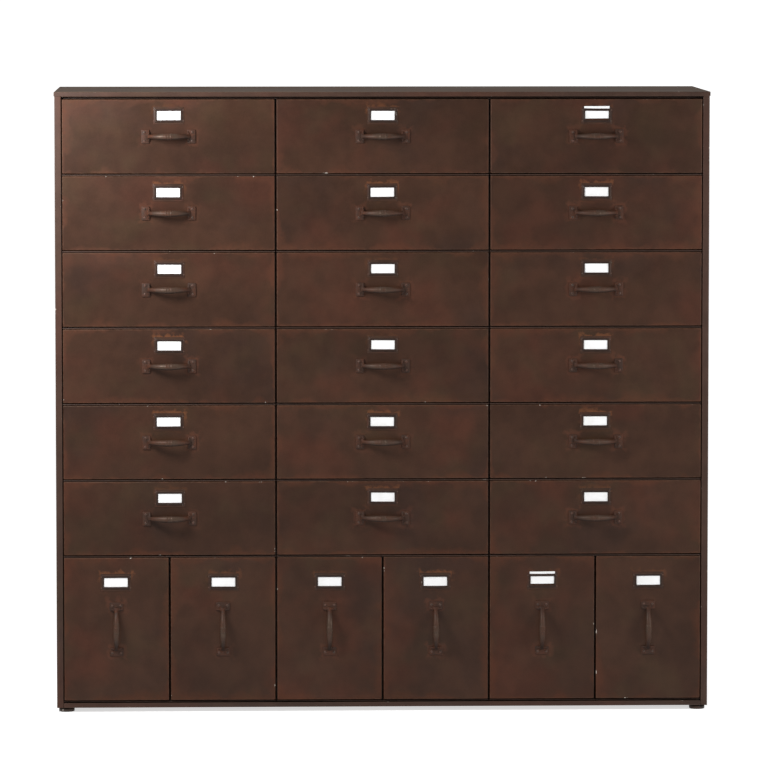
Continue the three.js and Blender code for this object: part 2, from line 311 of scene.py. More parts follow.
def normalUp(tree):
    return axesOf(tree, tree.nodes.new("ShaderNodeNewGeometry").outputs["Normal"])["Z"]


def coat(tree, shader, skin, rough, height, specular=0.5):
    feed(tree, shader.inputs["Base Color"], skin)
    feed(tree, shader.inputs["Roughness"], rough)
    feed(tree, shader.inputs["Specular IOR Level"], specular)
    bump = addNode(tree, "ShaderNodeBump", inputs={
        "Height": height, "Distance": 1.0, "Strength": 1.0})
    tree.links.new(bump.outputs["Normal"], shader.inputs["Normal"])


def paintMaterial(name, look, panel=None, stains=()):  # stains lie round what is fixed to a panel
    material, tree, shader = newMaterial(name)
    place, seed = placeAndSeed(tree)
    paint = useGroup(tree, enamelGroup, {
        "Coordinate": place, "Seed": seed, "Base": look["base"], "Red": look["red"],
        "Olive": look["olive"], "Dark": look["dark"], "Patch Scale": look["patchScale"],
        "Patchiness": look["patchiness"], "Roughness": look["roughness"],
    })
    skin, rims = paint["Color"], unmapped
    if panel:
        panelMap = addNode(tree, "ShaderNodeUVMap", {"uv_map": "panel"}).outputs["UV"]
        rims = {"Map": panelMap, "Creep": look["creep"], **panel}
        for stain in stains:
            halo = useGroup(tree, haloGroup, {"Map": panelMap, "Seed": seed, **stain["shape"]})
            amount = times(tree, halo["Mask"], stain["amount"])
            skin = mixColour(tree, amount, skin, stain["colour"])
    wear = useGroup(tree, wearGroup, {
        "Coordinate": place, "Seed": seed, "Fold": ownAttribute(tree, "fold"),
        "Rubbed": look["rubbed"], "Chips": look["chips"], **rims,
    })
    skin = mixColour(tree, times(tree, wear["Rust"], look["rust"]), skin, enamel["rust"])
    # painted shade: where a piece marks it, the paint is darkened to stand in for the shadow in the
    # recess round the card
    if "paintedRingShade" in look:
        paintedRingShade = times(tree, ownAttribute(tree, "paintedRingShade"), look["paintedRingShade"])
        skin = mixColour(tree, paintedRingShade, skin, enamel["ringShadeColour"])
    skin = mixColour(tree, wear["Rubbed"], skin, enamel["bare"])
    skin = mixColour(tree, wear["Chip"], skin, enamel["chip"])
    dust = useGroup(tree, dustGroup, {
        "Coordinate": place, "Normal Up": normalUp(tree), "Amount": look["dust"]})["Mask"]
    skin = mixColour(tree, dust, skin, enamel["dust"])
    rough = plus(tree, paint["Roughness"], times(tree, wear["Rust"], added["rustRoughness"]))
    rough = plus(tree, rough, times(tree, dust, added["dustRoughness"]), clamp=True)
    coat(tree, shader, skin, rough, paint["Height"], look["specular"])
    return material


casingLook = {
    **enamel, "base": (0.040, 0.0205, 0.0140, 1), "patchScale": 3.0, "patchiness": 0.55,
    "roughness": 0.42, "rubbed": 0.35, "chips": 0.9, "rust": 0.5, "dust": 0.5, "specular": 0.2,
}
frontLook = {
    **enamel, "patchScale": 6.5, "patchiness": 0.75, "roughness": 0.38, "rubbed": 0.45,
    "chips": 0.9, "rust": 0.45, "creep": 0.02, "dust": 0.15, "specular": 0.13,
}
rackLook = {
    **enamel, "base": (0.036, 0.017, 0.011, 1), "patchScale": 5.0, "patchiness": 0.3,
    "roughness": 0.5, "rubbed": 0.2, "chips": 0.3, "rust": 0.2, "dust": 0.1, "specular": 0.4,
}


# ---- meshes ----

sheetWork = {
    "weld": 1e-6, "flatAngle": math.radians(1), "foldAngle": math.radians(20), "reachShare": 0.4,
    "bevelSteps": 3, "flatWeight": 100, "flatNormal": 0.985, "cornerSteps": 4,
}
seeds = {  # each kind's first seed and the step from one piece to the next
    "sheet": (0.0, 1.7), "rack": (20.0, 2.3), "foot": (40.0, 1.0), "tray": (0.0, 3.1),
    "pull": (0.0, 5.0), "holder": (60.0, 1.0), "card": (90.0, 1.0), "fastener": (120.0, 1.0),
    "backRivets": (180.0, 0.0),
}


def seedOf(kind, index=0):
    first, step = seeds[kind]
    return first + step * index


def newObject(name, data):
    piece = bpy.data.objects.new(name, data)
    bpy.context.scene.collection.objects.link(piece)
    return piece


def addPiece(name, mesh, material, body, stands=()):
    piece = newObject(name, mesh)
    mesh.materials.clear()
    mesh.materials.append(material)
    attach(piece, body)
    if stands:
        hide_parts(*stands)
    return piece


def evaluatedMesh(piece):  # modifiers applied, as a mesh of its own
    graph = bpy.context.evaluated_depsgraph_get()
    final = piece.evaluated_get(graph)
    return bpy.data.meshes.new_from_object(final, preserve_all_data_layers=True, depsgraph=graph)


def discard(piece):
    mesh = piece.data
    bpy.data.objects.remove(piece)
    if mesh.users == 0:
        bpy.data.meshes.remove(mesh)


def boxMiddle(node):
    low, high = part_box(node)
    return (Vector(low) + Vector(high)) / 2


def halfway(node, axis):
    low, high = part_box(node)
    return (low[axis] + high[axis]) / 2


def faceReach(face, edge):  # how far a face goes from one of its edges
    start = edge.verts[0].co
    along = (edge.verts[1].co - start).normalized()
    return max(((v.co - start) - (v.co - start).dot(along) * along).length for v in face.verts)


def everyPart(bm):
    return bm.verts[:] + bm.edges[:] + bm.faces[:]


def foldedMesh(node, bend, seed, cuts=()):  # a CAD node's sheet, its folds and rims rounded
    bm = bmesh.new()
    bm.from_mesh(cadNodes[node].data)
    weld = sheetWork["weld"]
    bmesh.ops.remove_doubles(bm, verts=bm.verts, dist=weld)
    halves = [(boxMiddle(node), axis) for axis in ((1, 0, 0), (0, 1, 0), (0, 0, 1))]
    for point, normal in halves + list(cuts):  # so that no face has a hole in it
        cut = bmesh.ops.bisect_plane(
            bm, geom=everyPart(bm), dist=weld, plane_co=point, plane_no=normal)
        for item in cut["geom_cut"]:
            if isinstance(item, bmesh.types.BMEdge):
                item.seam = True
    bmesh.ops.dissolve_limit(
        bm, angle_limit=sheetWork["flatAngle"], verts=bm.verts, edges=bm.edges, delimit={"SEAM"})
    bmesh.ops.connect_verts_concave(bm, faces=bm.faces)
    weightLayer = bm.edges.layers.float.new("bevel_weight_edge")
    for edge in bm.edges:
        if len(edge.link_faces) != 2 or not edge.is_convex:
            continue
        if edge.calc_face_angle() > sheetWork["foldAngle"]:
            reach = min(faceReach(face, edge) for face in edge.link_faces)
            edge[weightLayer] = min(1.0, sheetWork["reachShare"] * reach / bend)
    mesh = bpy.data.meshes.new(node)
    bm.to_mesh(mesh)
    bm.free()
    piece = newObject("folding", mesh)
    bevel = piece.modifiers.new("folds", "BEVEL")
    bevel.limit_method = "WEIGHT"
    bevel.width = bend
    bevel.segments = sheetWork["bevelSteps"]
    bevel.use_clamp_overlap = False
    mesh.shade_smooth()
    weighted = piece.modifiers.new("flats", "WEIGHTED_NORMAL")
    weighted.mode = "FACE_AREA"
    weighted.weight = sheetWork["flatWeight"]
    folded = evaluatedMesh(piece)
    discard(piece)
    spans = list(zip(*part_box(node)))
    for vertex in folded.vertices:  # a rounded corner never passes the sheet's own box
        vertex.co = [min(max(at, least), most) for at, (least, most) in zip(vertex.co, spans)]
    markFolds(folded, seed)
    return folded


def markFolds(mesh, seed):  # for the wear: 1 on rounded strips and 0 on flats, and the piece's seed
    fold = mesh.attributes.new("fold", "FLOAT", "CORNER")
    values = [0.0] * len(mesh.loops)
    for face in mesh.polygons:
        if max(abs(n) for n in face.normal) < sheetWork["flatNormal"]:
            for i in face.loop_indices:
                values[i] = 1.0
    fold.data.foreach_set("value", values)
    markSeed(mesh, seed)


def markSeed(mesh, seed):
    attribute = mesh.attributes.new("seed", "FLOAT", "POINT")
    attribute.data.foreach_set("value", [seed] * len(mesh.vertices))


def mapPanel(mesh, centre):  # a flat map in metres, from the middle of the panel's front
    layer = mesh.uv_layers.new(name="panel")
    for loop, uv in zip(mesh.loops, layer.uv):
        point = mesh.vertices[loop.vertex_index].co
        uv.vector = (point.x - centre.x, point.z - centre.z)


def dentFront(mesh, seed, dent, low, high):  # slow waves in the sheet, none at its folded edges
    across, along, up = dent["waves"]
    for vertex in mesh.vertices:
        x, y, z = vertex.co
        if abs(y - frontY) > dent["near"]:
            continue
        inside = min(x - low[0], high[0] - x, z - low[2], high[2] - z)
        hold = min(1.0, max(0.0, inside / dent["margin"]))
        wave = noise.noise(Vector((x * across, seed * along, z * up)))
        vertex.co.y += dent["depth"] * hold * hold * (0.5 + 0.5 * wave)


def bridged(bm, loops, closed=False):  # faces between loops of the same length
    for first, second in zip(loops, loops[1:] + (loops[:1] if closed else [])):
        for i in range(len(first)):
            j = (i + 1) % len(first)
            bm.faces.new((first[i], first[j], second[j], second[i]))


def capped(bm, rings):  # a closed body from its rings, a face over each end
    bridged(bm, rings)
    bm.faces.new(rings[0])
    bm.faces.new(rings[-1])


def roundedRectangle(halfWidth, halfHeight, radius):
    points, steps = [], sheetWork["cornerSteps"]
    for cornerX, cornerZ, start in ((1, 1, 0), (-1, 1, 90), (-1, -1, 180), (1, -1, 270)):
        for k in range(steps + 1):
            angle = math.radians(start + 90 * k / steps)
            points.append((cornerX * (halfWidth - radius) + radius * math.cos(angle),
                           cornerZ * (halfHeight - radius) + radius * math.sin(angle)))
    return points


def meshFrom(bm, name):
    bmesh.ops.recalc_face_normals(bm, faces=bm.faces)
    mesh = bpy.data.meshes.new(name)
    bm.to_mesh(mesh)
    bm.free()
    return mesh


def smoothBelow(mesh, degrees):
    mesh.shade_smooth()
    mesh.set_sharp_from_angle(angle=math.radians(degrees))


def placed(place):  # from a part's own frame to its place on the front
    turn, centre = place
    return Matrix.Translation(centre) @ Matrix.Rotation(turn, 4, "Y")


# ---- casing ----

casing = {
    "bend": 0.0016, "rackBend": 0.0010,
    "sheets": ("top_panel", "left_side_panel", "right_side_panel", "bottom_panel", "back_panel"),
    "racks": ("left_rack", "middle_rack", "right_rack"),
    "feet": ("front_left_foot", "front_right_foot", "rear_left_foot", "rear_right_foot"),
}
footCuts = [(boxMiddle(node), axis) for node in casing["feet"] for axis in ((1, 0, 0), (0, 1, 0))]
casingPaint = paintMaterial("casingPaint", casingLook)
rackPaint = paintMaterial("rackPaint", rackLook)
for index, node in enumerate(casing["sheets"]):
    cuts = footCuts if node == "bottom_panel" else ()
    shell = foldedMesh(node, casing["bend"], seedOf("sheet", index), cuts)
    addPiece(f"{node}_folded", shell, casingPaint, "casing", [node])
for index, node in enumerate(casing["racks"]):
    shell = foldedMesh(node, casing["rackBend"], seedOf("rack", index))
    addPiece(f"{node}_folded", shell, rackPaint, "casing", [node])
print("casing folded")


# ---- feet ----

foot = {
    "sides": 48, "padRadius": 0.018, "padHeight": 0.0075, "round": 0.0022, "underInset": 1.3,
    "nutRadius": 0.0085, "nutGap": 0.0003, "stud": 0.004, "arcSteps": 4, "sharpFrom": 35,
}


def footMesh(node, seed):
    centre = Vector((halfway(node, 0), halfway(node, 1), 0))
    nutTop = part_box("bottom_panel")[0][2] - foot["nutGap"]
    bend = foot["round"]
    profile = [(foot["padRadius"] - bend * foot["underInset"], 0.0)]
    for start, level in ((-90, bend), (0, foot["padHeight"] - bend)):
        for k in range(foot["arcSteps"] + 1):
            angle = math.radians(start + 90 * k / foot["arcSteps"])
            reach = foot["padRadius"] - bend + bend * math.cos(angle)
            profile.append((reach, level + bend * math.sin(angle)))
    profile += [(foot["nutRadius"], foot["padHeight"]), (foot["nutRadius"], nutTop)]
    profile += [(foot["stud"], nutTop), (foot["stud"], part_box(node)[1][2])]
    bm = bmesh.new()
    rings = []
    for radius, height in profile:
        ring = []
        for k in range(foot["sides"]):
            turn = math.tau * k / foot["sides"]
            reach = radius
            if radius == foot["nutRadius"]:  # six flats on the nut
                offFlat = (turn % (math.pi / 3)) - math.pi / 6
                reach = radius * math.cos(math.pi / 6) / math.cos(offFlat)
            spot = Vector((reach * math.cos(turn), reach * math.sin(turn), height))
            ring.append(bm.verts.new(centre + spot))
        rings.append(ring)
    capped(bm, rings)
    mesh = meshFrom(bm, f"{node}_turned")
    smoothBelow(mesh, foot["sharpFrom"])
    markFolds(mesh, seed)
    return mesh


footLook = {
    **casingLook, "base": (0.035, 0.027, 0.023, 1), "rubbed": 0.25, "dust": 0.1, "patchScale": 40.0,
}
footPaint = paintMaterial("footPaint", footLook)
for index, node in enumerate(casing["feet"]):
    shell = footMesh(node, seedOf("foot", index))
    addPiece(f"{node}_turned", shell, footPaint, "casing", [node])
print("feet turned")


# ---- drawers ----

drawer = {
    "bend": 0.0018, "cutEvery": 0.045,
    "wideLabelDrop": 0.0372, "deepLabelDrop": 0.056,  # from the front's top to the card's middle
}
dent = {"depth": 0.0005, "margin": 0.05, "near": 1e-5, "waves": (5.0, 3.7, 7.0)}
holder = {
    "halfWidth": 0.0352, "halfHeight": 0.0202, "landHalfWidth": 0.0310, "landHalfHeight": 0.0155,
    "windowHalfWidth": 0.0270, "windowHalfHeight": 0.0103, "corner": 0.002,
    "sheet": 0.0007, "proud": 0.0024, "sharpFrom": 38,
    "slipAcross": 0.0015, "slipUp": 0.0008, "tilt": 0.008,  # how far one may be out of place
    "rivetRadius": 0.0016, "rivetOut": 0.0004, "rivetIn": 0.003,
}
pull = {
    "footMiddle": 0.0525, "footHalfAlong": 0.0095, "footHalfAcross": 0.0160, "footCorner": 0.0022,
    "footThickness": 0.0024, "endRadius": 0.0045, "middleRadius": 0.0071, "beadHeight": 0.0011,
    "beadPitch": 0.045, "flareHalfWidth": 0.0085, "flareShare": 0.08, "sides": 20, "stations": 72,
    "collarAlong": 0.0042, "collarHalfAcross": 0.0128, "collarHeight": 0.0048,
    "gripOut": 0.0018,  # height of the grip's centreline where it meets the foot
    "gripInto": 0.0035, "cutOut": 0.0002, "clearance": 0.0001, "tilt": 0.006, "sharpFrom": 40,
    "collarSteps": 6, "collarPower": 0.7, "collarSpread": 0.35, "wornSlope": 1.6,
    "screwAcross": 0.0098, "screwAlong": 0.0545, "screwRadius": 0.0031,
}
labelStain = {
    "inAcross": 0.004, "inUp": 0.002, "spread": 0.012, "lift": 0.85, "amount": 0.75,
    "colour": (0.15, 0.055, 0.022, 1),
}
pullStain = {"spread": 0.014, "lift": 0.2, "amount": 0.5, "colour": (0.10, 0.036, 0.02, 1)}


def frontCentre(body):
    node = f"{body}_drawer"
    return Vector((halfway(node, 0), frontY, halfway(node, 2)))


def labelDrop(body):
    return drawer["deepLabelDrop" if body in deepBodies else "wideLabelDrop"]


def stainOf(kind, centre, halfWidth, halfHeight):
    shape = {"Centre": (*centre, 0), "Half Width": halfWidth, "Half Height": halfHeight,
             "Spread": kind["spread"], "Lift": kind["lift"]}
    return {"shape": shape, "amount": kind["amount"], "colour": kind["colour"]}


def frontPaint(name, body):
    low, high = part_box(f"{body}_drawer")
    half = ((high[0] - low[0]) / 2, (high[2] - low[2]) / 2)
    stains = [stainOf(labelStain, (0, half[1] - labelDrop(body)),
                      holder["halfWidth"] - labelStain["inAcross"],
                      holder["halfHeight"] - labelStain["inUp"])]
    along, across, middle = pull["footHalfAlong"], pull["footHalfAcross"], pull["footMiddle"]
    for side in (-1, 1):
        if body in deepBodies:
            stains.append(stainOf(pullStain, (0, side * middle), across, along))
        else:
            stains.append(stainOf(pullStain, (side * middle, 0), along, across))
    panel = {"Half Width": half[0], "Half Height": half[1]}
    return paintMaterial(name, frontLook, panel, stains)


def drawerMesh(body, seed):
    node = f"{body}_drawer"
    low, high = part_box(node)
    cuts = []
    for axis in (0, 2):
        count = math.ceil((high[axis] - low[axis]) / drawer["cutEvery"])
        for k in range(1, count):
            point, normal = Vector(low), Vector((0, 0, 0))
            point[axis] = low[axis] + (high[axis] - low[axis]) * k / count
            normal[axis] = 1.0
            cuts.append((point, normal))
    mesh = foldedMesh(node, drawer["bend"], seed, cuts)
    dentFront(mesh, seed, dent, low, high)
    mapPanel(mesh, frontCentre(body))
    return mesh


widePaint = frontPaint("wideFrontPaint", "wide_r1_c1")
deepPaint = frontPaint("deepFrontPaint", "deep_1")
for index, body in enumerate(drawerBodies):
    paint = deepPaint if body in deepBodies else widePaint
    tray = drawerMesh(body, seedOf("tray", index))
    addPiece(f"{body}_tray", tray, paint, body, [f"{body}_drawer"])
print("drawers folded")


# ---- pulls ----

beading = {"reach": 1.25, "swellPower": 1.4, "ripplePower": 2.0, "flarePower": 1.6}


def buildGripTree():  # a bow of round section: flared ends, a swollen middle and beads
    tree, given, result = newGroup("bowGrip", "GeometryNodeTree", {
        "Half Chord": number, "End Out": number, "Rise": number, "End Radius": number,
        "Middle Radius": number, "Bead Height": number, "Bead Pitch": number,
        "Flare Half Width": number, "Flare Share": number, "Sides": whole, "Stations": whole,
        "Material": paintSocket,
    }, {"Geometry": geometry})
    near = times(tree, given["End Out"], -1.0)
    far = minus(tree, near, given["Rise"])
    arc = addNode(tree, "GeometryNodeCurveArc", {"mode": "POINTS"}, {
        "Start": combined(tree, X=times(tree, given["Half Chord"], -1.0), Y=near),
        "Middle": combined(tree, Y=far), "End": combined(tree, X=given["Half Chord"], Y=near),
        "Resolution": given["Stations"]}).outputs["Curve"]
    along = tree.nodes.new("GeometryNodeSplineParameter").outputs["Factor"]
    bow = calc(tree, "SINE", times(tree, along, math.pi))
    swell = calc(tree, "POWER", bow, beading["swellPower"])
    gained = minus(tree, given["Middle Radius"], given["End Radius"])
    radius = plus(tree, given["End Radius"], times(tree, swell, gained))
    off = minus(tree, along, 0.5)
    turn = times(tree, calc(tree, "DIVIDE", off, given["Bead Pitch"]), math.tau)
    crest = calc(tree, "MAXIMUM", calc(tree, "COSINE", turn), 0.0)
    ripple = calc(tree, "POWER", crest, beading["ripplePower"])
    limit = times(tree, given["Bead Pitch"], beading["reach"])
    inReach = calc(tree, "LESS_THAN", calc(tree, "ABSOLUTE", off), limit)
    beads = times(tree, times(tree, ripple, inReach), given["Bead Height"])
    radius = plus(tree, radius, beads)
    capture = tree.nodes.new("GeometryNodeCaptureAttribute")
    capture.capture_items.new("FLOAT", "along")
    tree.links.new(arc, capture.inputs["Geometry"])
    tree.links.new(along, capture.inputs[1])
    sized = addNode(tree, "GeometryNodeSetCurveRadius", inputs={
        "Curve": capture.outputs["Geometry"], "Radius": radius}).outputs["Curve"]
    circle = addNode(tree, "GeometryNodeCurvePrimitiveCircle", inputs={
        "Resolution": given["Sides"], "Radius": 1.0}).outputs["Curve"]
    sweep = addNode(tree, "GeometryNodeCurveToMesh", inputs={
        "Curve": sized, "Profile Curve": circle, "Fill Caps": True})
    if "Scale" in sweep.inputs:
        tree.links.new(radius, sweep.inputs["Scale"])
    toEnd = calc(tree, "MINIMUM", capture.outputs[1], minus(tree, 1.0, capture.outputs[1]))
    ratio = calc(tree, "DIVIDE", toEnd, given["Flare Share"])
    flare = calc(tree, "POWER", minus(tree, 1.0, ratio, clamp=True), beading["flarePower"])
    wider = calc(tree, "DIVIDE", given["Flare Half Width"], given["End Radius"])
    place = axesOf(tree, tree.nodes.new("GeometryNodeInputPosition").outputs[0])
    widen = times(tree, place["Z"], times(tree, flare, minus(tree, wider, 1.0)))
    flared = addNode(tree, "GeometryNodeSetPosition", inputs={
        "Geometry": sweep.outputs["Mesh"], "Offset": combined(tree, Z=widen)}).outputs["Geometry"]
    endPainted(tree, flared, given, result)
    return tree


def endPainted(tree, shape, given, result):  # the tree's result, as a mesh in its material
    real = addNode(tree, "GeometryNodeRealizeInstances", inputs={"Geometry": shape})
    painted = addNode(tree, "GeometryNodeSetMaterial", inputs={
        "Geometry": real.outputs["Geometry"], "Material": given["Material"]})
    tree.links.new(painted.outputs["Geometry"], result["Geometry"])


def runTree(tree, values, mesh=None):  # the mesh that a geometry tree makes with these inputs
    piece = newObject("maker", mesh or bpy.data.meshes.new("base"))
    modifier = piece.modifiers.new("maker", "NODES")
    modifier.node_group = tree
    for item in tree.interface.items_tree:
        if item.in_out == "INPUT" and item.name in values:
            modifier[item.identifier] = values[item.name]
    made = evaluatedMesh(piece)
    discard(piece)
    return made


def footPlate(bm, side):  # a plate with a rounded rim
    centre = side * pull["footMiddle"]
    along, across, thick = pull["footHalfAlong"], pull["footHalfAcross"], pull["footThickness"]
    steps = [(0.0, 0.0), (0.0, 0.6), (0.12, 0.88), (0.35, 1.0)]
    rings = []
    for inset, rise in steps:
        shrink = inset * thick
        corner = pull["footCorner"] - shrink * 0.5
        outline = roundedRectangle(along - shrink, across - shrink, corner)
        rings.append([bm.verts.new((centre + x, -rise * thick, z)) for x, z in outline])
    capped(bm, rings)


def collar(bm, side):  # a ridge across the foot's inner edge, highest where the grip enters it
    centre = side * (pull["footMiddle"] - pull["footHalfAlong"] + 0.5 * pull["collarAlong"])
    section = [(-1.0, 0.2), (-0.95, 0.7), (-0.6, 0.95), (0.0, 1.0)]
    section += [(-x, y) for x, y in section[2::-1]]
    rings = []
    for k in range(2 * pull["collarSteps"] + 1):
        share = -1.0 + k / pull["collarSteps"]
        swell = max(0.0, math.cos(0.5 * math.pi * share)) ** pull["collarPower"]
        tall = pull["footThickness"] + pull["collarHeight"] * swell
        half = 0.5 * pull["collarAlong"] * (1.0 + pull["collarSpread"] * (1.0 - abs(share)))
        z = share * pull["collarHalfAcross"]
        rings.append([bm.verts.new((centre + x * half, -y * tall, z)) for x, y in section])
    capped(bm, rings)


ironLook = {  # linear colours
    "dark": (0.027, 0.0130, 0.0080, 1), "warm": (0.040, 0.0145, 0.0072, 1),
    "rust": (0.092, 0.0255, 0.0088, 1), "worn": (0.068, 0.0430, 0.0295, 1),
    # painted shade: the near-black laid on faces that point down
    "under": (0.010, 0.005, 0.0035, 1), "broad": (45.0, 4.0, 0.6), "pits": (520.0, 4.0, 0.65),
    "wornMetal": 0.5, "wornShine": 0.2, "underShare": 0.8, "specular": 0.2,
    "pitHeight": 0.00012, "broadHeight": 0.0003,
}


def ironMaterial():  # dark cast iron, rusted in its pits, worn where hands hold it, and made black below by painted shade
    material, tree, shader = newMaterial("pullIron")
    place, seed = placeAndSeed(tree)
    look = ironLook
    broad = noiseField(tree, place, seed, *look["broad"])
    pits = noiseField(tree, place, seed, *look["pits"])
    skin = mixColour(tree, remap(tree, broad, 0.4, 0.65), look["dark"], look["warm"])
    deep = remap(tree, pits, 0.48, 0.66)
    rust = times(tree, deep, remap(tree, broad, 0.36, 0.58, 0.2, 0.9))
    skin = mixColour(tree, rust, skin, look["rust"])
    worn = times(tree, ownAttribute(tree, "grip"), remap(tree, broad, 0.3, 0.6, 0.9, 0.3))
    skin = mixColour(tree, worn, skin, look["worn"])
    # painted shade: faces that point down are darkened to stand in for the shadow beneath the grip
    # and feet
    under = remap(tree, normalUp(tree), -0.15, -0.85)
    skin = mixColour(tree, times(tree, under, look["underShare"]), skin, look["under"])
    worn = times(tree, worn, minus(tree, 1.0, under))
    feed(tree, shader.inputs["Metallic"], times(tree, worn, look["wornMetal"]))
    rough = remap(tree, pits, 0.3, 0.7, 0.5, 0.68)
    rough = minus(tree, rough, times(tree, worn, look["wornShine"]))
    height = plus(tree, times(tree, pits, look["pitHeight"]),
                  times(tree, broad, look["broadHeight"]))
    coat(tree, shader, skin, rough, height, look["specular"])
    return material


pullIron = ironMaterial()
gripTree = buildGripTree()
pullLow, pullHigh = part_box("wide_r1_c1_pull")
pullOut = pullHigh[1] - pullLow[1]
gripRise = pullOut - pull["middleRadius"] - pull["beadHeight"] - pull["gripOut"] - pull["clearance"]
gripMesh = runTree(gripTree, {
    "Half Chord": pull["footMiddle"] - pull["footHalfAlong"] + pull["gripInto"],
    "End Out": pull["gripOut"], "Rise": gripRise,
    "End Radius": pull["endRadius"], "Middle Radius": pull["middleRadius"],
    "Bead Height": pull["beadHeight"], "Bead Pitch": pull["beadPitch"],
    "Flare Half Width": pull["flareHalfWidth"], "Flare Share": pull["flareShare"],
    "Sides": pull["sides"], "Stations": pull["stations"], "Material": pullIron,
})


def pullMesh(place, seed):
    bm = bmesh.new()
    bm.from_mesh(gripMesh)
    cut = bmesh.ops.bisect_plane(bm, geom=everyPart(bm), plane_co=(0, -pull["cutOut"], 0),
                                 plane_no=(0, 1, 0), clear_outer=True)
    rim = [item for item in cut["geom_cut"] if isinstance(item, bmesh.types.BMEdge)]
    bmesh.ops.holes_fill(bm, edges=rim)
    gripVerts = len(bm.verts)
    for side in (-1, 1):
        footPlate(bm, side)
        collar(bm, side)
    mesh = meshFrom(bm, "pull")
    grip = mesh.attributes.new("grip", "FLOAT", "POINT")
    inner = pull["footMiddle"] - pull["footHalfAlong"]
    values = []
    for i, vertex in enumerate(mesh.vertices):
        share = 1.0 - abs(vertex.co.x) / inner
        worn = min(1.0, max(0.0, pull["wornSlope"] * share))
        values.append(worn if i < gripVerts else 0.0)
    grip.data.foreach_set("value", values)
    smoothBelow(mesh, pull["sharpFrom"])
    mesh.transform(placed(place))
    markSeed(mesh, seed)
    return mesh


draw = random.Random(7)


def within(spread):
    return draw.uniform(-spread, spread)


pullPlaces = {}
for index, body in enumerate(drawerBodies):
    node = f"{body}_pull"
    centre = Vector((halfway(node, 0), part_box(node)[1][1], halfway(node, 2)))
    turn = (math.pi / 2 if body in deepBodies else 0.0) + within(pull["tilt"])
    pullPlaces[body] = (turn, centre)
    bow = pullMesh(pullPlaces[body], seedOf("pull", index))
    addPiece(f"{body}_bow", bow, pullIron, body, [f"{body}_pull"])
print("pulls made")


# ---- label holders and cards ----

def holderMesh(place, seed):
    out, sheet, corner = holder["proud"], holder["sheet"], holder["corner"]
    bases = {
        "rim": (holder["halfWidth"], holder["halfHeight"]),
        "land": (holder["landHalfWidth"], holder["landHalfHeight"]),
        "window": (holder["windowHalfWidth"], holder["windowHalfHeight"]),
    }
    loops = [  # outline, what is added to its half width and half height, corner, distance out
        ("rim", 0.0, 0.0, corner, 0.0), ("rim", 0.0, 0.0, corner, 0.7 * sheet),
        ("rim", -0.3 * sheet, -0.3 * sheet, corner, sheet), ("land", 0.0012, 0.0008, corner, sheet),
        ("land", 0.0004, 0.0003, corner, 0.55 * out),
        ("land", -0.0002, -0.0002, corner, 0.92 * out),
        ("land", -0.0010, -0.0008, corner, out), ("window", 0.0014, 0.0012, corner * 0.7, out),
        ("window", 0.0004, 0.0004, corner * 0.6, 0.86 * out),
        ("window", 0.0, 0.0, corner * 0.5, 0.62 * out),
        ("window", 0.0006, 0.0006, corner * 0.5, 0.58 * out),
        ("land", -0.0012, -0.0010, corner, 0.58 * out), ("land", -0.0008, -0.0007, corner, 0.0),
    ]
    bm = bmesh.new()
    rings = []
    for base, moreAcross, moreUp, radius, depth in loops:
        halfWidth, halfHeight = bases[base]
        outline = roundedRectangle(halfWidth + moreAcross, halfHeight + moreUp, radius)
        rings.append([bm.verts.new((x, -depth, z)) for x, z in outline])
    bridged(bm, rings, closed=True)
    mesh = meshFrom(bm, "holder")
    # painted shade: 1 on the raised land and window lip, which the paint darkens to stand in for
    # the shadow round the card
    paintedRingShade = mesh.attributes.new("paintedRingShade", "FLOAT", "POINT")
    raised = [1.0 if -vertex.co.y > 1.5 * sheet else 0.0 for vertex in mesh.vertices]
    paintedRingShade.data.foreach_set("value", raised)
    mesh.transform(placed(place))
    smoothBelow(mesh, holder["sharpFrom"])
    markFolds(mesh, seed)
    return mesh


card = {
    "halfWidth": 0.0290, "halfHeight": 0.0140, "thickness": 0.00035, "raised": 0.0072,
    "curl": 0.0004, "behind": 0.0004, "columns": 12, "rows": 5, "sharpFrom": 40,
}
raisedCards = {"wide_r1_c3": 0.012, "deep_5": 0.004}  # body: how far the card is tilted


def cardMesh(place, lift, seed):
    columns, rows = card["columns"], card["rows"]
    bm = bmesh.new()
    sheets = []
    for face in (0, 1):
        grid = []
        for i in range(columns + 1):
            line = []
            for k in range(rows + 1):
                x = card["halfWidth"] * (2 * i / columns - 1)
                z = card["halfHeight"] * (2 * k / rows - 1) + lift
                bow = card["curl"] * math.cos(math.pi * x / (2 * card["halfWidth"]))
                y = -card["behind"] - bow - face * card["thickness"]
                line.append(bm.verts.new((x, y, z)))
            grid.append(line)
        for i in range(columns):
            for k in range(rows):
                left, right = grid[i], grid[i + 1]
                bm.faces.new((left[k], right[k], right[k + 1], left[k + 1]))
        sheets.append(grid)
    back, front = sheets
    rim = [(i, 0) for i in range(columns + 1)] + [(columns, k) for k in range(1, rows + 1)]
    rim += [(i, rows) for i in range(columns - 1, -1, -1)]
    rim += [(0, k) for k in range(rows - 1, 0, -1)]
    for (a, b), (c, d) in zip(rim, rim[1:] + rim[:1]):
        bm.faces.new((back[a][b], back[c][d], front[c][d], front[a][b]))
    mesh = meshFrom(bm, "card")
    mesh.transform(placed(place))
    smoothBelow(mesh, card["sharpFrom"])
    markSeed(mesh, seed)
    return mesh


cardLook = {
    "clean": (0.74, 0.74, 0.745, 1), "aged": (0.68, 0.675, 0.665, 1),
    "fibres": (0.60, 0.595, 0.58, 1), "fibre": (900.0, 3.0, 0.6), "age": (30.0, 3.0, 0.5),
    "fibreHeight": 0.00004,
}


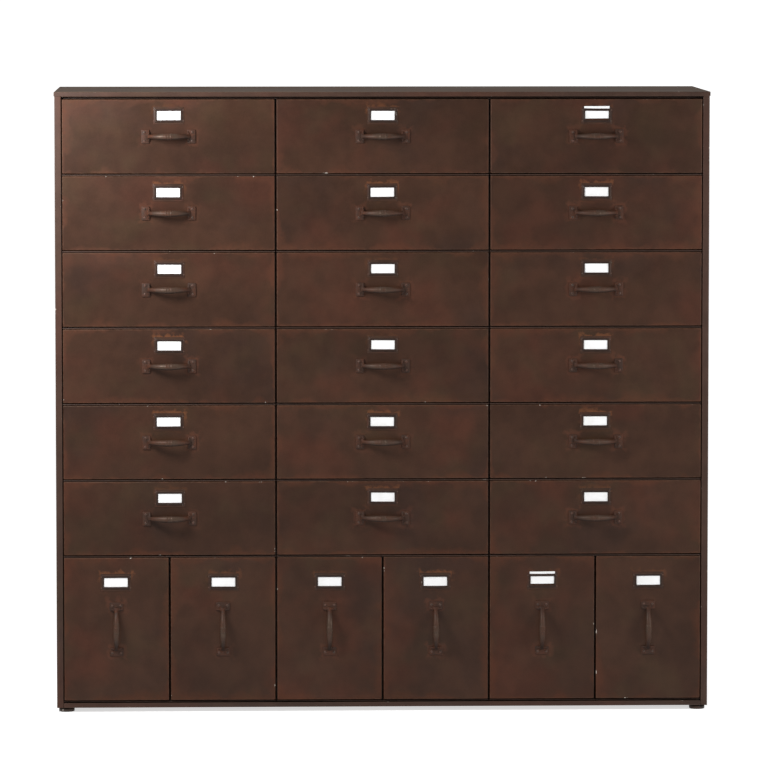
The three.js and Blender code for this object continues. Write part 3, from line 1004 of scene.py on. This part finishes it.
def cardMaterial():
    material, tree, shader = newMaterial("labelCard")
    place, seed = placeAndSeed(tree)
    fibre = noiseField(tree, place, seed, *cardLook["fibre"])
    age = noiseField(tree, place, seed, *cardLook["age"])
    skin = mixColour(tree, remap(tree, age, 0.4, 0.75), cardLook["clean"], cardLook["aged"])
    fibres = remap(tree, fibre, 0.45, 0.8, 0.0, 0.25)
    skin = mixColour(tree, fibres, skin, cardLook["fibres"])
    rough = remap(tree, fibre, 0.3, 0.7, 0.75, 0.9)
    coat(tree, shader, skin, rough, times(tree, fibre, cardLook["fibreHeight"]))
    return material


# the holder's paint, with its raised window ring darkened as painted shade
holderLook = {
    **enamel, "paintedRingShade": 0.75, "patchScale": 30.0, "patchiness": 0.7, "roughness": 0.45,
    "rubbed": 0.35, "chips": 0.3, "rust": 0.6, "dust": 0.2, "specular": 0.18,
}
holderPaint = paintMaterial("holderPaint", holderLook)
labelCard = cardMaterial()
labelPlaces = {}
for index, body in enumerate(drawerBodies):
    node = f"{body}_drawer"
    across = halfway(node, 0) + within(holder["slipAcross"])
    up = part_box(node)[1][2] - labelDrop(body) + within(holder["slipUp"])
    spot = Vector((across, frontY, up))
    turn = within(holder["tilt"])
    labelPlaces[body] = (turn, spot)
    shell = holderMesh(labelPlaces[body], seedOf("holder", index))
    addPiece(f"{body}_label_holder", shell, holderPaint, body)
    lift = card["raised"] if body in raisedCards else 0.0
    place = (turn - raisedCards.get(body, 0.0), spot)
    paper = cardMesh(place, lift, seedOf("card", index))
    addPiece(f"{body}_card", paper, labelCard, body)
print("label holders and cards made")


# ---- screws and rivets ----

headShape = {  # of a head of radius 1
    "sides": 16, "dome": ((1.0, 0.0), (1.0, 0.12), (0.86, 0.34), (0.58, 0.48), (0.28, 0.54)),
    "slotOut": 0.5, "slotSize": (3, 0.5, 0.22), "sunk": 0.0002, "turn": 3.1, "sharpFrom": 40,
}


def headMesh(slotted):  # a domed head of radius 1, standing out along -Y
    bm = bmesh.new()
    rings = []
    for radius, rise in headShape["dome"]:
        ring = []
        for k in range(headShape["sides"]):
            turn = math.tau * k / headShape["sides"]
            ring.append(bm.verts.new((radius * math.cos(turn), -rise, radius * math.sin(turn))))
        rings.append(ring)
    capped(bm, rings)
    mesh = meshFrom(bm, "head")
    if not slotted:
        return mesh
    head = newObject("head", mesh)
    bm = bmesh.new()
    moved = Matrix.Translation((0, -headShape["slotOut"], 0))
    bmesh.ops.create_cube(bm, size=1.0, matrix=moved @ Matrix.Diagonal((*headShape["slotSize"], 1)))
    slot = newObject("slot", meshFrom(bm, "slot"))
    cut = head.modifiers.new("slot", "BOOLEAN")
    cut.operation = "DIFFERENCE"
    cut.solver = "EXACT"
    cut.object = slot
    made = evaluatedMesh(head)
    discard(head)
    discard(slot)
    return made


def buildFastenerTree():  # one head on every point, each turned its own way
    tree, given, result = newGroup("fasteners", "GeometryNodeTree", {
        "Geometry": geometry, "Head": "NodeSocketObject", "Head Radius": number, "Seed": whole,
        "Material": paintSocket,
    }, {"Geometry": geometry})
    head = addNode(tree, "GeometryNodeObjectInfo", inputs={"Object": given["Head"]})
    angle = addNode(tree, "FunctionNodeRandomValue", {"data_type": "FLOAT"}, {
        "Seed": given["Seed"], 3: 1.0})
    turned = times(tree, angle.outputs[1], headShape["turn"])
    points = addNode(tree, "GeometryNodeMeshToPoints", inputs={"Mesh": given["Geometry"]})
    heads = addNode(tree, "GeometryNodeInstanceOnPoints", inputs={
        "Points": points.outputs["Points"], "Instance": head.outputs["Geometry"],
        "Rotation": combined(tree, Y=turned), "Scale": given["Head Radius"]})
    endPainted(tree, heads.outputs["Instances"], given, result)
    return tree


steelLook = {
    "plain": (0.045, 0.027, 0.018, 1), "rust": (0.070, 0.022, 0.010, 1),
    "patches": (260.0, 4.0, 0.6), "patchHeight": 0.0003,
}


def steelMaterial():
    material, tree, shader = newMaterial("screwSteel")
    place, seed = placeAndSeed(tree)
    patches = noiseField(tree, place, seed, *steelLook["patches"])
    rusty = remap(tree, patches, 0.4, 0.62)
    skin = mixColour(tree, rusty, steelLook["plain"], steelLook["rust"])
    feed(tree, shader.inputs["Metallic"], remap(tree, patches, 0.4, 0.62, 0.35, 0.0))
    rough = remap(tree, patches, 0.3, 0.7, 0.4, 0.7)
    coat(tree, shader, skin, rough, times(tree, patches, steelLook["patchHeight"]))
    return material


def cornerSpots(place, halfAcross, out, halfUp):
    corners = [(a * halfAcross, -out, b * halfUp) for a in (-1, 1) for b in (-1, 1)]
    return [placed(place) @ Vector(corner) for corner in corners]


def fastenersAt(spots, kind, radius, seed, material):
    mesh = bpy.data.meshes.new("points")
    mesh.from_pydata(spots, [], [])
    return runTree(fastenerTree, {
        "Head": heads[kind], "Head Radius": radius, "Seed": seed, "Material": material}, mesh)


screwSteel = steelMaterial()
fastenerTree = buildFastenerTree()
heads = {}
for kind in ("slotted", "round"):
    heads[kind] = newObject(f"{kind}Head", headMesh(kind == "slotted"))
for index, body in enumerate(drawerBodies):
    spots = {
        "screws": cornerSpots(
            pullPlaces[body], pull["screwAlong"], pull["footThickness"] - headShape["sunk"],
            pull["screwAcross"]),
        "rivets": cornerSpots(
            labelPlaces[body],
            (holder["halfWidth"] + holder["landHalfWidth"]) / 2 + holder["rivetOut"],
            holder["sheet"] - headShape["sunk"], holder["landHalfHeight"] - holder["rivetIn"]),
    }
    for name, kind, radius in (("screws", "slotted", pull["screwRadius"]),
                               ("rivets", "round", holder["rivetRadius"])):
        made = fastenersAt(spots[name], kind, radius, index, screwSteel)
        smoothBelow(made, headShape["sharpFrom"])
        markSeed(made, seedOf("fastener", index))
        addPiece(f"{body}_{name}", made, screwSteel, body)

backRivets = {
    "radius": 0.0022, "fromEdge": 0.0075, "fromEnd": 0.035, "beside": 0.015, "rows": 10, "seed": 77,
}
low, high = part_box("left_side_panel")
returnY, sheetY = high[1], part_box("back_panel")[1][1]
columnX = [low[0] + backRivets["fromEdge"], -low[0] - backRivets["fromEdge"]]
jointX = (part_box("left_rack")[1][0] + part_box("middle_rack")[0][0]) / 2
spots = []
rowsReach = high[2] - low[2] - 2 * backRivets["fromEnd"]
for row in range(backRivets["rows"]):
    z = low[2] + backRivets["fromEnd"] + rowsReach * row / (backRivets["rows"] - 1)
    spots += [(x, -returnY, z) for x in columnX]
    besides = [a * jointX + b * backRivets["beside"] for a in (-1, 1) for b in (-1, 1)]
    spots += [(x, -sheetY, z) for x in besides]
rivets = fastenersAt(spots, "round", backRivets["radius"], backRivets["seed"], casingPaint)
rivets.transform(Matrix.Rotation(math.pi, 4, "Z"))
rivets.shade_smooth()
markSeed(rivets, seedOf("backRivets"))
addPiece("casing_rivets", rivets, casingPaint, "casing")
for head in heads.values():
    discard(head)
print("screws and rivets placed")


# ---- floor, light and camera ----

studio = {
    "floorSize": 60.0, "floorColour": (0.58, 0.58, 0.58, 1), "floorRoughness": 0.8,
    "floorGlow": 0.62, "backWhite": 1.15, "horizon": 0.07, "zenith": 0.84,
}
lamps = {
    "keyLight": {
        "place": (-1.2, -1.0, 1.6), "aim": (-0.6, -0.2, 1.2), "size": 0.5, "power": 31.0,
    },
    "sideLight": {
        "place": (1.8, -1.1, 1.15), "aim": (0.6, -0.2, 0.85), "size": 0.7, "power": 18.0,
    },
}
white = (1, 1, 1, 1)


def aimed(place, target):
    return (Vector(target) - Vector(place)).to_track_quat("-Z", "Y").to_euler()


for name, lamp in lamps.items():
    light = bpy.data.lights.new(name, "AREA")
    light.shape = "SQUARE"
    light.size = lamp["size"]
    light.energy = lamp["power"]
    holds = newObject(name, light)
    holds.location = lamp["place"]
    holds.rotation_euler = aimed(lamp["place"], lamp["aim"])

world = bpy.data.worlds.new("studioWorld")
bpy.context.scene.world = world
world.use_nodes = True
worldTree = world.node_tree
worldTree.nodes.clear()
seen = worldTree.nodes.new("ShaderNodeLightPath").outputs["Is Camera Ray"]
way = axesOf(worldTree, worldTree.nodes.new("ShaderNodeTexCoord").outputs["Generated"])
fill = remap(worldTree, way["Z"], 0.0, 0.8, studio["horizon"], studio["zenith"])
strength = addNode(worldTree, "ShaderNodeMapRange", inputs={
    "Value": seen, "To Min": fill, "To Max": studio["backWhite"]}).outputs["Result"]
sky = addNode(worldTree, "ShaderNodeBackground", inputs={"Color": white, "Strength": strength})
worldTree.links.new(sky.outputs[0], worldTree.nodes.new("ShaderNodeOutputWorld").inputs[0])

bm = bmesh.new()
bmesh.ops.create_grid(bm, x_segments=1, y_segments=1, size=studio["floorSize"] / 2)
floor = newObject("floor", meshFrom(bm, "floor"))
floorMaterial, floorTree, floorShader = newMaterial("paleFloor")
for label, value in (
    ("Base Color", studio["floorColour"]), ("Roughness", studio["floorRoughness"]),
    ("Emission Color", white), ("Emission Strength", studio["floorGlow"]),
):
    feed(floorTree, floorShader.inputs[label], value)
floor.data.materials.append(floorMaterial)

view = {
    "distance": 12.0, "aboveTop": 0.342, "left": 0.377, "aimX": 0.003, "aimZ": 0.845,
    "lens": 246.0, "sensor": 36.0, "shiftUp": -0.05, "clipEnd": 100.0,
}
camera = bpy.data.cameras.new("camera")
camera.sensor_width = view["sensor"]
cameraPiece = newObject("camera", camera)
eye = (-view["left"], frontY - view["distance"], cadBox[1][2] + view["aboveTop"])
cameraPiece.location = eye
cameraPiece.rotation_euler = aimed(eye, (view["aimX"], frontY, view["aimZ"]))
camera.lens = view["lens"]
camera.shift_y = view["shiftUp"]
camera.clip_end = view["clipEnd"]
bpy.context.scene.camera = cameraPiece
bpy.context.scene.view_settings.view_transform = "Standard"
print("studio set")

bpy.context.view_layer.update()
